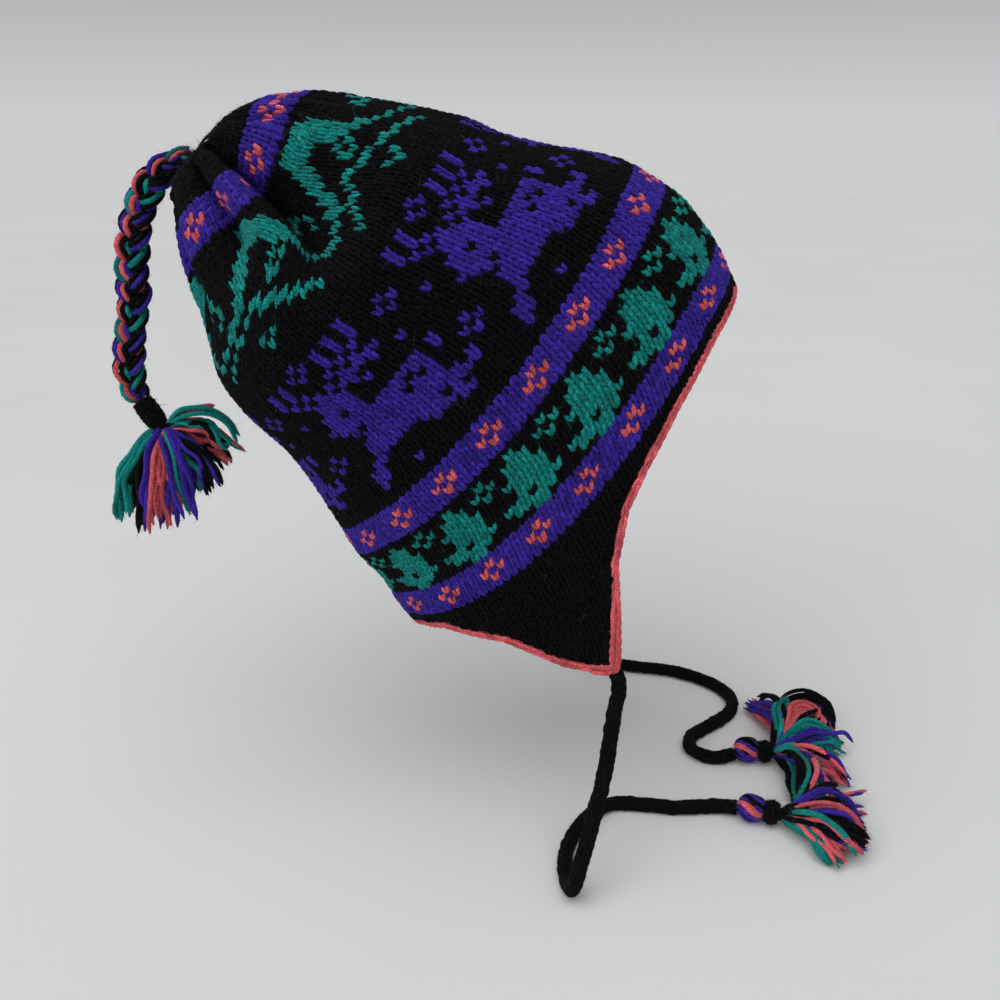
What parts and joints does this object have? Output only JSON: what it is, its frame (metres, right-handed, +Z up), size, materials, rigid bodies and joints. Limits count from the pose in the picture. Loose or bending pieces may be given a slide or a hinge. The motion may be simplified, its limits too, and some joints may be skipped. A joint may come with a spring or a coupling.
{
  "type": "chullo hat",
  "caption": "Knitted Andean-style hat with a gathered slanting crown, ear flaps, a plaited top cord with a tassel and two tie cords ending in tassels.",
  "frame": {"origin": "middle of the head opening's rim, where a head holds the hat", "axes": "+X to the hat's front, +Y to the wearer's left, +Z up in the worn pose of the picture, with the rim tilted and the crown slanting back"},
  "size_m": [0.3755, 0.2126, 0.3307],
  "materials": {
    "body_yarns": "soft matt wool-like knit, black with purple, teal and coral motifs",
    "edging_yarn": "soft matt coral crochet",
    "plait_yarns": "loose strands of coral, teal, purple and black yarn",
    "cord_yarn": "soft matt black knitted tube"
  },
  "bodies": {
    "root": {"knit_body": "body_yarns", "edge_binding": "edging_yarn", "top_braid": "plait_yarns", "braid_wrap": "cord_yarn", "top_tassel": "plait_yarns", "tie_cord_right": "cord_yarn", "tie_wrap_right": "cord_yarn", "tie_tassel_right": "plait_yarns", "tie_cord_left": "cord_yarn", "tie_wrap_left": "cord_yarn", "tie_tassel_left": "plait_yarns"}
  },
  "joints": []
}
